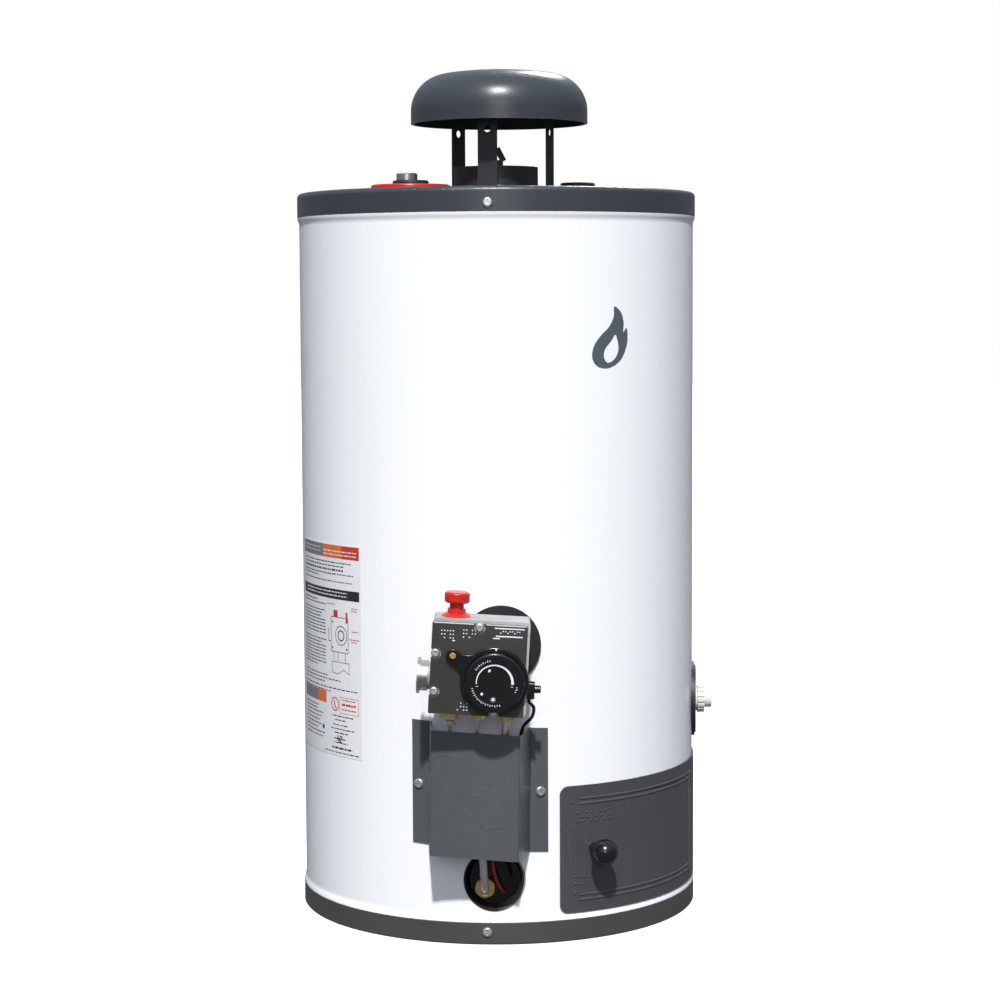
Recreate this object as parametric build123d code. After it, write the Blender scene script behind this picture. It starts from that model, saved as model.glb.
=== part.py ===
"""Gas storage water heater, about 40 litres, with its draught hood, gas valve, burner and access door.

Frame: +Z up, the front (gas valve side) faces -Y, origin on the tank axis at the foot of the base.
Lengths are millimetres. An azimuth is measured about the tank axis from the front, positive
towards +X.
"""
import math
import os

from build123d import *

# ---------------------------------------------------------------- driving dimensions
JACKET_R = 203.0          # outside of the painted jacket, a 16 in drum
JACKET_SHEET = 0.6
CAP_R = 205.0             # outside of the top cap and of the base band
CAP_SHEET = 0.8
CAP_TOP = 735.2
CAP_EDGE = 711.2          # lower edge of the top cap's skirt
BASE_BAND = 21.3          # height of the base band
FLARE_H = 8.0             # height over which the jacket flares out to the cap and the base
FLOOR_TOP = 8.2           # upper face of the base pan's floor

TANK_R = 165.0            # outside of the pressure tank
TANK_WALL = 2.0
TANK_BOTTOM = 184.0       # where the shell stands on the combustion skirt
TANK_TOP = 700.0
FLUE_R = 38.0             # 3 in flue
FLUE_WALL = 1.5
NIPPLE_SPACING = 203.2    # 8 in between the water connections
NIPPLE_TURN = 32.0        # the line through them, turned from the X axis
NIPPLE_R = 10.65          # 1/2 in pipe
HOT_NIPPLE_TOP = 754.2
COLD_NIPPLE_TOP = 748.0
COLD_SOCKET_FLOOR = 734.0  # the cold nipple is bored out down to here

PLATEAU_TOP = 742.5       # raised centre of the cap, under the flue collar
COLLAR_R = 43.5
COLLAR_TOP = 762.3
HOOD_X = 3.7              # the hood sits slightly to the right of the tank axis
LEG_R = 55.0              # radius about the hood's axis at which its legs stand
LEG_AZIMUTHS = (-12.4, 110.0, -130.0)
HOOD_R = 91.0
HOOD_RIM = 806.8
HOOD_TOP = 861.4
HOOD_SHEET = 0.8
SHOULDER_R = 38.0         # radius of the hood's shoulder
CROWN_R = 400.0           # radius of the hood's shallow crown

PORT_AZ = -1.2            # round opening through which the burner is fed
PORT_Z = 63.4
PORT_R = 30.3             # at the jacket
PORT_INNER_R = 24.6       # at the combustion chamber's wall
GAS_X = -13.6             # axis of the burner's gas orifice
GAS_Z = 54.0

DOOR_AZ = (17.0, 96.5)
DOOR_Z = (28.0, 154.0)
DOOR_INNER_R = 203.6
DOOR_SHEET = 1.2
OPENING_AZ = (21.5, 92.0)
OPENING_Z = (33.0, 148.0)
HINGE_AZ = 99.0
HINGE_R = 206.6
KNOB_AZ = 27.0
KNOB_Z = 91.0

SHANK_X = 3.0             # axis of the thermostat's shank
SHANK_Z = 293.0
VALVE_LEAN = 3.4          # the valve is screwed in slightly past upright
VALVE_BACK = -232.0       # back face of the valve casting
VALVE_FRONT = -276.0
FACE_FRONT = -278.0

COVER_AZ = -5.3
COVER_Z = 155.5
COVER_LEAN = 0.9
COVER_BIAS = 2.3          # its ends are cut slightly out of square
COVER_HEIGHT = 121.6
COVER_FACE_R = 246.0

DRAIN_Z = 207.7
RUNNING = 0.06            # radial clearance of a shaft in its own hole

os.makedirs("parts", exist_ok=True)


# ---------------------------------------------------------------- helpers
def save(name, shape):
    """Write one node. A list of shapes becomes a group of separate solids."""
    if isinstance(shape, (list, tuple)):
        shape = Compound(children=[solid for item in shape for solid in item.solids()])
    export_step(shape, f"parts/{name}.step")


def ring(r_out, r_in, z0, z1, x=0.0, y=0.0):
    """Upright tube between two heights."""
    height = z1 - z0
    return Pos(x, y, (z0 + z1) / 2) * (Cylinder(r_out, height) - Cylinder(r_in, height))


def rod(r, z0, z1, x=0.0, y=0.0):
    """Upright cylinder between two heights."""
    return Pos(x, y, (z0 + z1) / 2) * Cylinder(r, z1 - z0)


def block(x0, x1, y0, y1, z0, z1):
    """Box between two corners."""
    return Pos((x0 + x1) / 2, (y0 + y1) / 2, (z0 + z1) / 2) * Box(x1 - x0, y1 - y0, z1 - z0)


def turned(edges, arc=360.0, start=0.0):
    """Solid of revolution about Z from edges drawn as (radius, height); start is an azimuth."""
    profile = Plane.XZ * make_face(edges)
    return Rot(0, 0, start - 90) * revolve(profile, Axis.Z, arc)


def turned_outline(points, arc=360.0, start=0.0):
    """The same from a closed outline of straight lines."""
    return turned(Polyline(*points, close=True), arc, start)


def sector(r_in, r_out, z0, z1, az0, az1):
    """Part of a tube between two azimuths."""
    return turned_outline([(r_in, z0), (r_out, z0), (r_out, z1), (r_in, z1)], az1 - az0, az0)


def outward(shape, azimuth, radius=0.0, height=0.0):
    """Place a shape whose +X points away from the tank; its +Y runs towards larger azimuths."""
    return Rot(0, 0, azimuth - 90) * Pos(radius, 0, height) * shape


def drum_bore(r, azimuth, height, r0, r1):
    """Cylinder along the outward direction, to cut a round hole in the drum."""
    return outward(Pos((r0 + r1) / 2, 0, 0) * Rot(0, 90, 0) * Cylinder(r, r1 - r0), azimuth, 0, height)


def along_y(r, y0, y1, x, z):
    """Cylinder parallel to Y."""
    return Pos(x, (y0 + y1) / 2, z) * Rot(90, 0, 0) * Cylinder(r, y1 - y0)


def along_x(r, x0, x1, y, z):
    """Cylinder parallel to X."""
    return Pos((x0 + x1) / 2, y, z) * Rot(0, 90, 0) * Cylinder(r, x1 - x0)


def hexagon_rod(across_flats, z0, z1):
    """Upright hexagonal bar on the Z axis."""
    face = RegularPolygon(across_flats / 2, 6, major_radius=False)
    return Pos(0, 0, z0) * extrude(face, z1 - z0)


def pan_screw(head_r, head_h, shank_r, shank_l):
    """Cross-recessed pan head screw, seated at the origin with its head towards +Z."""
    head = Pos(0, 0, head_h / 2) * Cylinder(head_r, head_h)
    head = fillet(head.edges().group_by(Axis.Z)[-1], min(head_h * 0.7, head_r * 0.4))
    recess = Box(head_r * 1.1, 0.9, 2 * head_h * 0.5) + Box(0.9, head_r * 1.1, 2 * head_h * 0.5)
    shank = Pos(0, 0, -shank_l / 2) * Cylinder(shank_r, shank_l)
    return head + shank - Pos(0, 0, head_h) * recess


def tube_along(points, diameter, name=""):
    """Round tube or lead along straight runs joined by tangent arcs."""
    corners = [Vector(*p) for p in points]
    radii = []
    for before, corner, after in zip(corners, corners[1:], corners[2:]):
        turn = math.radians((corner - before).get_angle(after - corner))
        shorter = min((corner - before).length, (after - corner).length)
        radii.append(0.45 * shorter / math.tan(turn / 2))
    path = FilletPolyline(*corners, radius=radii)
    solid = sweep(Plane(origin=path @ 0, z_dir=path % 0) * Circle(diameter / 2), path=path)
    share = solid.volume / (math.pi * diameter**2 / 4 * path.length)
    print(f"{name}: length {path.length:.0f}, least radius {min(radii):.1f}, volume ratio {share:.4f}")
    return solid


# ---------------------------------------------------------------- drum
def flare(r, z, way):
    """S-shaped outline from the drum's radius at height z out to the cap's, going up or down."""
    rise = way * FLARE_H
    out = CAP_R - 0.1 - JACKET_R
    middle = (r + out / 2, z + rise / 2)
    lower = ThreePointArc((r, z), (r + out / 8, z + rise / 4), middle)
    upper = ThreePointArc(middle, (r + out * 7 / 8, z + rise * 3 / 4), (r + out, z + rise))
    return lower + upper


def jacket():
    """Painted sheet drum that flares at both ends and tucks into the base and the cap."""
    low_z = BASE_BAND + 0.7
    high_z = CAP_EDGE - 0.7
    tuck_r = CAP_R - CAP_SHEET - 0.3
    t = JACKET_SHEET
    outside = (
        Line((tuck_r, FLOOR_TOP + 0.8), (tuck_r, low_z - 0.6))
        + Line((tuck_r, low_z - 0.6), (CAP_R - 0.1, low_z))
        + flare(JACKET_R, low_z + FLARE_H, -1)
        + Line((JACKET_R, low_z + FLARE_H), (JACKET_R, high_z - FLARE_H))
        + flare(JACKET_R, high_z - FLARE_H, 1)
        + Line((CAP_R - 0.1, high_z), (tuck_r, high_z + 0.6))
        + Line((tuck_r, high_z + 0.6), (tuck_r, CAP_TOP - 5))
    )
    inside = (
        Line((tuck_r - t, FLOOR_TOP + 0.8), (tuck_r - t, low_z))
        + Line((tuck_r - t, low_z), (CAP_R - 0.1 - t, low_z + 0.6))
        + Line((CAP_R - 0.1 - t, low_z + 0.6), (JACKET_R - t, low_z + FLARE_H))
        + Line((JACKET_R - t, low_z + FLARE_H), (JACKET_R - t, high_z - FLARE_H))
        + Line((JACKET_R - t, high_z - FLARE_H), (CAP_R - 0.1 - t, high_z - 0.6))
        + Line((CAP_R - 0.1 - t, high_z - 0.6), (tuck_r - t, high_z))
        + Line((tuck_r - t, high_z), (tuck_r - t, CAP_TOP - 5))
    )
    ends = (
        Line((tuck_r - t, FLOOR_TOP + 0.8), (tuck_r, FLOOR_TOP + 0.8))
        + Line((tuck_r - t, CAP_TOP - 5), (tuck_r, CAP_TOP - 5))
    )
    drum = turned(outside + inside + ends)
    drum -= sector(JACKET_R - 8, JACKET_R + 8, *OPENING_Z, *OPENING_AZ)
    drum -= drum_bore(PORT_R + 0.1, PORT_AZ, PORT_Z, 180, 220)
    drum -= drum_bore(14.0, 90, DRAIN_Z, 180, 220)
    drum -= along_y(16.0, -220, -180, SHANK_X, SHANK_Z)
    for azimuth, height in RIM_SCREWS + COVER_SCREWS:
        drum -= drum_bore(2.0, azimuth, height, 195, 210)
    return drum


def top_cap():
    """Pressed cap: rolled edge, skirt, and a raised centre for the flue collar."""
    t = CAP_SHEET
    roll = 4.5
    r_in = CAP_R - t
    bend = roll * (1 - math.sqrt(0.5))
    outside = (
        Line((CAP_R, CAP_EDGE), (CAP_R, CAP_TOP - roll))
        + ThreePointArc((CAP_R, CAP_TOP - roll), (CAP_R - bend, CAP_TOP - bend), (CAP_R - roll, CAP_TOP))
        + Polyline(
            (CAP_R - roll, CAP_TOP), (51.4, CAP_TOP), (47.5, PLATEAU_TOP), (FLUE_R + 0.8, PLATEAU_TOP)
        )
    )
    inner_roll = roll - t
    inner_bend = inner_roll * (1 - math.sqrt(0.5))
    inside = (
        Line((r_in, CAP_EDGE), (r_in, CAP_TOP - roll))
        + ThreePointArc(
            (r_in, CAP_TOP - roll),
            (r_in - inner_bend, CAP_TOP - t - inner_bend),
            (r_in - inner_roll, CAP_TOP - t),
        )
        + Polyline(
            (r_in - inner_roll, CAP_TOP - t),
            (50.9, CAP_TOP - t),
            (47.0, PLATEAU_TOP - t),
            (FLUE_R + 0.8, PLATEAU_TOP - t),
        )
    )
    ends = (
        Line((r_in, CAP_EDGE), (CAP_R, CAP_EDGE))
        + Line((FLUE_R + 0.8, PLATEAU_TOP - t), (FLUE_R + 0.8, PLATEAU_TOP))
    )
    cap = turned(outside + inside + ends)
    for x, y in NIPPLES:
        cap -= rod(14.2, CAP_TOP - 5, CAP_TOP + 5, x, y)
    cap -= rod(18.5, CAP_TOP - 5, CAP_TOP + 5, *ANODE)
    for azimuth, height in RIM_SCREWS[:3]:
        cap -= drum_bore(2.0, azimuth, height, 195, 210)
    for azimuth in LEG_AZIMUTHS:
        cap -= Pos(HOOD_X, 0, 0) * outward(rod(2.0, CAP_TOP - 5, CAP_TOP + 5, *LEG_SCREW), azimuth)
    return cap


def base_pan():
    """Pressed pan that carries everything: foot ring, raised floor and outer band."""
    outline = [
        (187.0, 0), (CAP_R - 1.2, 0), (CAP_R, 1.2), (CAP_R, BASE_BAND), (CAP_R - CAP_SHEET, BASE_BAND),
        (CAP_R - CAP_SHEET, 1.8), (CAP_R - 1.6, 1.0), (187.6, 1.0), (184.0, FLOOR_TOP), (0, FLOOR_TOP),
        (0, FLOOR_TOP - 1), (183.4, FLOOR_TOP - 1),
    ]
    pan = turned_outline(outline)
    for azimuth, height in RIM_SCREWS[3:]:
        pan -= drum_bore(2.0, azimuth, height, 195, 210)
    return pan


def rim_screw(azimuth, height, seat_r):
    """Screw with its head on the drum at radius seat_r, stopping short of the insulation."""
    screw = pan_screw(4.75, 2.4, 1.9, seat_r - 202.25)
    return outward(Rot(0, 90, 0) * screw, azimuth, seat_r, height)


# ---------------------------------------------------------------- insulation
def foam():
    """Foamed-in-place insulation between the tank and the jacket."""
    body = ring(JACKET_R - 1.0, TANK_R + 0.3, TANK_BOTTOM + 0.4, 724.4)
    body -= drum_bore(21.0, 90, DRAIN_Z, 150, 220)
    return body - along_y(22.0, -220, -150, SHANK_X, SHANK_Z)


def blanket():
    """Glass wool between the combustion skirt and the jacket."""
    body = ring(JACKET_R - 1.0, TANK_R + 2.0, FLOOR_TOP + 0.2, TANK_BOTTOM - 0.4)
    body -= sector(150, 220, OPENING_Z[0] - 3, OPENING_Z[1] + 3, OPENING_AZ[0] - 4, OPENING_AZ[1] + 5.5)
    return body - drum_bore(PORT_R + 1.2, PORT_AZ, PORT_Z, 150, 220)


def top_insulation():
    """Disc of insulation under the cap."""
    disc = ring(JACKET_R - 2.5, FLUE_R + 3, 724.6, CAP_TOP - CAP_SHEET - 0.3)
    for x, y in NIPPLES + (ANODE,):
        disc -= rod(19.0, 720, 735, x, y)
    return disc


# ---------------------------------------------------------------- tank
def tank_shell():
    """Rolled and welded tank wall with its side openings."""
    shell = ring(TANK_R, TANK_R - TANK_WALL, TANK_BOTTOM, TANK_TOP)
    shell -= drum_bore(7.0, 90, DRAIN_Z, 150, 180)
    return shell - along_y(11.0, -180, -150, SHANK_X, SHANK_Z)


def dished_head(z_flange, flange, rise, t):
    """Dished tank end with a downward flange, open for the flue."""
    r = TANK_R - TANK_WALL - 0.2
    r_flue = FLUE_R + 0.2
    top = z_flange + flange
    outside = (
        Line((r, z_flange), (r, top))
        + ThreePointArc((r, top), (r * 0.64, top + rise * 0.72), (r_flue, top + rise))
    )
    inside = (
        Line((r - t, z_flange), (r - t, top - t))
        + ThreePointArc(
            (r - t, top - t), (r * 0.63, top + rise * 0.72 - t * 1.1), (r_flue, top + rise - t)
        )
    )
    ends = Line((r - t, z_flange), (r, z_flange)) + Line((r_flue, top + rise - t), (r_flue, top + rise))
    return turned(outside + inside + ends)


def top_head():
    """Top end of the tank, pierced for the water connections and the anode."""
    head = dished_head(TANK_TOP - 12, 12, 20, 2.2)
    for x, y in NIPPLES + (ANODE,):
        head -= rod(16.0, 690, 735, x, y)
    return head


def bottom_head():
    """Bottom end of the tank, the roof of the combustion chamber."""
    return dished_head(TANK_BOTTOM + 2, 10, 30, 2.5)


def tank_spuds():
    """Threaded bosses welded to the tank: two water, one anode, thermostat and drain."""
    spuds = [ring(15.9, NIPPLE_R + RUNNING, 708, 726, x, y) for x, y in NIPPLES]
    spuds.append(ring(15.9, 13.4, 708, 726, *ANODE))
    front = along_y(20.0, -177, -150, SHANK_X, SHANK_Z) - along_y(10.7, -178, -149, SHANK_X, SHANK_Z)
    spuds.append(front - rod(TANK_R + 0.05, SHANK_Z - 40, SHANK_Z + 40))
    side = along_x(18.0, 150, 176, 0, DRAIN_Z) - along_x(9.6, 149, 177, 0, DRAIN_Z)
    spuds.append(side - rod(TANK_R + 0.05, DRAIN_Z - 40, DRAIN_Z + 40))
    return spuds


def flue_baffle():
    """Strip with bent-out fins that slows the flue gas; its bent top tab shows above the collar."""
    strip = block(-30, 30, -0.6, 0.6, 240, 744)
    neck = block(1.4, 7.6, -0.6, 0.6, 743, 770)
    tab = Pos(4.6, 0, 775.5) * Rot(0, -27, 0) * Box(6.2, 1.2, 15)
    baffle = strip + neck + tab
    for step in range(7):
        side = 1 if step % 2 else -1
        fin = Pos(0, side * 8.5, 280 + 65 * step) * Rot(side * 35, 0, 0) * Box(34, 20, 1.2)
        baffle += fin
    return baffle


def anode():
    """Sacrificial rod, cast on a steel core."""
    return rod(9.5, 250, 700, *ANODE) + rod(3.0, 700, 709.8, *ANODE)


def anode_plug():
    """Hexagonal plug that holds the anode in its boss."""
    plug = rod(13.3, 710, 727, *ANODE) + Pos(*ANODE, 0) * hexagon_rod(27, 727, 740)
    return plug


def dip_tube():
    """Plastic tube that leads the cold water to the tank's foot."""
    x, y = NIPPLES[1]
    return ring(7.9, 6.6, 250, 732, x, y) + ring(8.4, 6.6, 731, 733.6, x, y)


# ---------------------------------------------------------------- top fittings
def hot_nipple(x, y):
    """Steel nipple, threaded and chamfered at its open end."""
    body = ring(NIPPLE_R, 8.5, 747.3, HOT_NIPPLE_TOP, x, y) + ring(NIPPLE_R - 0.3, 8.5, 712, 747.3, x, y)
    return chamfer(body.edges().group_by(Axis.Z)[-1].sort_by(SortBy.RADIUS)[-1], 1.0)


def cold_nipple(x, y):
    """Steel nipple that ends level with its seal, bored out at its mouth."""
    return ring(NIPPLE_R - 0.3, 8.5, 712, COLD_NIPPLE_TOP, x, y) - rod(9.0, COLD_SOCKET_FLOOR, 760, x, y)


def connection_ring(x, y, r, top):
    """Coloured plastic disc that marks a water connection."""
    disc = ring(r, 18.8, CAP_TOP, top, x, y)
    return fillet(disc.edges().group_by(Axis.Z)[-1].sort_by(SortBy.RADIUS)[-1], 2.0)


def grommet(seal, pipe, top):
    """Rubber seal on the cap, with its hole where the nipple stands."""
    flange = rod(18.3, CAP_TOP, top, *seal)
    flange = fillet(flange.edges().group_by(Axis.Z)[-1], 2.0)
    return flange + rod(13.9, CAP_TOP - 6, CAP_TOP, *pipe) - rod(NIPPLE_R + 0.15, CAP_TOP - 8, top + 2, *pipe)


def flue_collar():
    """Short collar round the flue's outlet."""
    wall = ring(COLLAR_R, COLLAR_R - 1.0, PLATEAU_TOP, COLLAR_TOP)
    return wall + ring(COLLAR_R, FLUE_R + 0.5, PLATEAU_TOP, PLATEAU_TOP + 1.0)


def dome(inset, bottom):
    """Solid filling the hood to its outside, or to a surface a constant distance inside it."""
    centre_r = HOOD_R - SHOULDER_R
    crown_z = HOOD_TOP - CROWN_R
    shoulder_z = crown_z + math.sqrt((CROWN_R - SHOULDER_R) ** 2 - centre_r**2)
    lean = math.atan2(centre_r, shoulder_z - crown_z)
    shoulder, crown = SHOULDER_R - inset, CROWN_R - inset

    def on_shoulder(angle):
        return centre_r + shoulder * math.sin(angle), shoulder_z + shoulder * math.cos(angle)

    middle = (math.pi / 2 + lean) / 2
    half_crown = (crown * math.sin(lean / 2), crown_z + crown * math.cos(lean / 2))
    top = (0, HOOD_TOP - inset)
    return turned(
        ThreePointArc(on_shoulder(math.pi / 2), on_shoulder(middle), on_shoulder(lean))
        + ThreePointArc(on_shoulder(lean), half_crown, top)
        + Polyline(top, (0, bottom), (HOOD_R - inset, bottom), on_shoulder(math.pi / 2))
    )


def hood_leg(azimuth):
    """Flat strap up to the hood's inside, with an outward foot and a hole below the rim."""
    t = 1.5
    strap = outward(block(LEG_R, LEG_R + t, -10, 10, CAP_TOP, HOOD_TOP), azimuth)
    strap &= dome(HOOD_SHEET + 0.05, CAP_TOP - 1)
    foot = block(LEG_R, LEG_R + 14, -10, 10, CAP_TOP, CAP_TOP + t)
    foot -= rod(2.0, CAP_TOP - 2, CAP_TOP + 4, *LEG_SCREW)
    leg = strap + outward(foot, azimuth) - outward(along_x(3.8, LEG_R - 5, LEG_R + 5, 0, 799.0), azimuth)
    leg = Pos(HOOD_X, 0, 0) * leg
    for x, y in SEALS:
        leg -= rod(41.0, CAP_TOP - 1, CAP_TOP + 12, x, y)
    return leg


def vent_hood():
    """Spun dome over the flue, with a small inward lip at its rim."""
    lip = ring(HOOD_R - HOOD_SHEET / 2, HOOD_R - 3.5, HOOD_RIM, HOOD_RIM + HOOD_SHEET)
    return Pos(HOOD_X, 0, 0) * (dome(0, HOOD_RIM) - dome(HOOD_SHEET, HOOD_RIM - 1) + lip)


# ---------------------------------------------------------------- combustion chamber
def combustion_skirt():
    """Wall of the combustion chamber, with the access opening and the burner port."""
    skirt = ring(TANK_R, TANK_R - 1.5, FLOOR_TOP, TANK_BOTTOM)
    skirt -= sector(150, 180, OPENING_Z[0] + 4, OPENING_Z[1] - 4, OPENING_AZ[0] + 1.5, OPENING_AZ[1] - 1.5)
    return skirt - drum_bore(PORT_INNER_R + 0.2, PORT_AZ, PORT_Z, 150, 180)


def funnel(inset):
    """Solid inside the burner port's sleeve, narrowing from the jacket to the combustion chamber."""
    slope = (PORT_R - PORT_INNER_R) / (JACKET_R - TANK_R)
    r_out = PORT_R + slope * 7 - inset
    r_in = PORT_INNER_R - slope * 5 - inset
    length = JACKET_R + 7 - (TANK_R - 5)
    return outward(Rot(0, 90, 0) * Cone(r_in, r_out, length), PORT_AZ, JACKET_R + 7 - length / 2, PORT_Z)


def port_sleeve():
    """Funnel from the jacket to the combustion chamber, trimmed to the drum's curve."""
    return (funnel(0) - funnel(1.1)) & rod(JACKET_R + 0.6, 0, 130)


def mixing_tube():
    """Venturi pipe that carries gas and air to the burner head, open behind the orifice."""
    corners = [Vector(GAS_X, -150, GAS_Z), Vector(0, 0, GAS_Z), Vector(0, 0, 79.9)]
    path = FilletPolyline(*corners, radius=20)
    start = Plane(origin=path @ 0, z_dir=path % 0)
    return sweep(start * (Circle(14.0) - Circle(12.8)), path=path)


def burner_head():
    """Round pressed burner with a ring of flame ports."""
    shell = turned_outline([
        (14.3, 80), (40, 80), (62, 86), (62, 91), (30, 97), (0, 98), (0, 96.6), (29.6, 95.6),
        (60.8, 90), (60.8, 87), (39.8, 81.2), (14.3, 81.2),
    ])
    ports = [Rot(0, 0, 15 * step) * block(34, 52, -0.8, 0.8, 88, 100) for step in range(24)]
    return shell - ports


def burner_bracket():
    """Two plates on one foot that hold the orifice pipe and the mixing tube above the floor."""
    front = block(-32, 3, -157.5, -156, FLOOR_TOP, 64)
    rear = block(-24, 14, -71.5, -70, FLOOR_TOP, 56)
    foot = block(-12, -2, -157.5, -70, FLOOR_TOP, FLOOR_TOP + 1.5)
    cradle = Pos(-6.2, -70, GAS_Z) * Rot(90, 0, 0) * Cylinder(14.6, 20)
    return front + rear + foot - cradle - along_y(5.05, -160, -150, GAS_X, GAS_Z)


def pilot_bracket():
    """Small shelf under the burner head that carries the pilot, thermocouple and electrode."""
    return block(-15, 22, -86, -40, 77, 79.9) - rod(15.0, 70, 85)


def pilot_burner():
    """Pilot burner with a slotted hood."""
    body = rod(5.0, 80, 100, 4, -76) + rod(6.5, 80, 86, 4, -76)
    return body - block(-2, 10, -74, -66, 94, 98)


def thermocouple():
    """Sensing tip in the pilot flame and its copper lead from the valve."""
    lead = tube_along([
        valve_point(-45.0, NUT_Y, -57), valve_point(-45.0, NUT_Y, -73), (-44.5, -236, 200), (-40, -227, 150),
        (-31, -218, 112), (-20.8, -207, 84.5), (-16, -184, 79.5), (-14, -135, 79.5), (-10, -100, 83), (-9, -76, 84),
    ], 3.0, "thermocouple")
    return lead + rod(2.6, 80, 104, -9, -76)


def electrode():
    """Ceramic igniter electrode."""
    return rod(3.0, 80, 99, 16, -76) + rod(0.8, 99, 104, 16, -76)


# ---------------------------------------------------------------- gas valve
VALVE = Pos(SHANK_X, 0, SHANK_Z) * Rot(0, VALVE_LEAN, 0)


def valve_point(across, y, up):
    """A point given from the shank's axis, in the leaning valve's own directions."""
    point = (VALVE * Pos(across, y, up)).position
    return (point.X, point.Y, point.Z)


DIAL = (-4.95, -21.5)
BRASS_SCREW = (-45.1, 0.8)
FACE_SCREWS = ((-21.3, 27.7), (-61.5, 2.0), (-61.2, -34.1), (-4.2, -51.4))
PILOT_ACROSS = -44.1
PILOT_Y = -255.0
IGNITER_UP = -30.9
INLET_UP = -23.7
NUT_Y = -241.5
TUBE_NUTS = ((-45.0, 17.0, 1.5, -65.5), (-18.7, 11.0, 1.6, -64.5), (8.7, 13.0, 3.8, -64.5))


def valve_body():
    """Die-cast body with its neck, side inlet and bores."""
    casting = block(-64.9, 26.0, VALVE_FRONT, VALVE_BACK, -54.2, 34.6)
    casting = fillet(casting.edges().filter_by(Axis.Y), 3.0)
    casting += along_y(17.0, VALVE_BACK, -212, 0, 0)
    casting += along_x(13.0, -68, -60, -252, INLET_UP)
    casting -= along_y(10.65, -245, -200, 0, 0)
    casting -= along_x(8.0, -70, -48, -252, INLET_UP)
    casting -= along_y(3.0 + RUNNING, VALVE_FRONT - 1, -260, *DIAL)
    casting -= rod(7.3, 14, 36, PILOT_ACROSS, PILOT_Y)
    for across, up in FACE_SCREWS:
        casting -= along_y(1.95, VALVE_FRONT - 1, -266, across, up)
    casting -= along_y(1.95, VALVE_FRONT - 1, -266, *BRASS_SCREW)
    return VALVE * casting


def face_plate():
    """Black plate on the valve's front, notched round the screws."""
    plate = block(-65.7, 23.7, FACE_FRONT, VALVE_FRONT, -55.2, 31.8)
    plate = fillet(plate.edges().filter_by(Axis.Y), 1.5)
    for across, up in FACE_SCREWS:
        plate -= along_y(5.4, FACE_FRONT - 1, VALVE_FRONT + 1, across, up)
    plate -= along_y(4.4, FACE_FRONT - 1, VALVE_FRONT + 1, *BRASS_SCREW)
    return VALVE * (plate - along_y(4.2, FACE_FRONT - 1, VALVE_FRONT + 1, *DIAL))


def dial_bezel():
    """Raised surround of the dial that runs out in a teardrop round the brass screw."""
    reach = Vector(BRASS_SCREW[0] - DIAL[0], BRASS_SCREW[1] - DIAL[1], 0)
    slant = math.degrees(math.atan2(reach.Y, reach.X))
    bridge = Pos(reach.X / 2, reach.Y / 2) * Rot(0, 0, slant) * Rectangle(reach.length, 13)
    shape = Circle(32.2) + Pos(reach.X, reach.Y) * Circle(6.5) + bridge
    inside_corners = shape.vertices().sort_by_distance((0, 0))[:2]
    shape = fillet(inside_corners, 14)
    shape -= Circle(28.5) + Pos(reach.X, reach.Y) * Circle(4.4)
    bezel = extrude(shape, 5.5)
    top = bezel.faces().sort_by(Axis.Z)[-1]
    bezel = fillet(top.outer_wire().edges(), 1.2)
    bezel = Pos(DIAL[0], FACE_FRONT, DIAL[1]) * Rot(90, 0, 0) * bezel
    across, up = FACE_SCREWS[-1]
    return VALVE * (bezel - along_y(5.4, FACE_FRONT - 9, FACE_FRONT + 1, across, up))


def facing_screw(across, up, head_r, head_h, shank_l):
    """Screw in the valve's front."""
    screw = pan_screw(head_r, head_h, 1.9, shank_l)
    return VALVE * Pos(across, VALVE_FRONT, up) * Rot(90, 0, 0) * screw


def temperature_dial():
    """Dial with a recessed centre on its shaft."""
    rim = 27.9
    dial = along_y(rim, -291.5, FACE_FRONT - 1.0, 0, 0)
    dial = fillet(dial.edges().group_by(Axis.Y)[0], 1.8)
    dial -= along_y(18.5, -292, -290.3, 0, 0)
    dial += along_y(3.0, FACE_FRONT - 1.5, -264, 0, 0)
    return VALVE * Pos(DIAL[0], 0, DIAL[1]) * dial


def pilot_guide():
    """Red collar and flange on top of the valve."""
    flange = Pos(0, 0, 34.6 + 1.7) * Cone(14.8, 10.5, 3.4)
    guide = flange + rod(8.5, 36, 42)
    return VALVE * Pos(PILOT_ACROSS, PILOT_Y, 0) * (guide - rod(6.7 + RUNNING, 30, 50))


def pilot_button():
    """Red mushroom button on its stem."""
    cap = fillet(rod(12.0, 47.3, 57.9).edges(), 2.6)
    return VALVE * Pos(PILOT_ACROSS, PILOT_Y, 0) * (cap + rod(6.7, 21, 50))


def gas_inlet():
    """Flanged inlet fitting with a pipe thread."""
    fitting = along_x(17.2, -78.2, -75.2, -252, INLET_UP) + along_x(14.5, -76, -68.1, -252, INLET_UP)
    return VALVE * (fitting - along_x(9.3, -80, -60, -252, INLET_UP))


def igniter_housing():
    """Piezo igniter's housing, open for its button, with a foot for the leads."""
    housing = block(26.1, 33.6, -261, -249, IGNITER_UP - 9.0, IGNITER_UP + 6.6)
    housing = fillet(housing.edges().filter_by(Axis.X), 1.5)
    return VALVE * (housing - along_x(3.75 + RUNNING, 27.4, 35, -255, IGNITER_UP))


def igniter_button():
    """Push button of the piezo igniter."""
    button = along_x(3.75, 31.9, 39.4, -255, IGNITER_UP)
    return VALVE * fillet(button.edges().group_by(Axis.X)[-1], 0.8)


def tube_nut(across, flats, tube_r, bottom):
    """Brass nut under the valve."""
    nut = hexagon_rod(flats, bottom, -54.3) - rod(tube_r + 0.05, bottom - 1, -54)
    return VALVE * Pos(across, NUT_Y, 0) * nut


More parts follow.
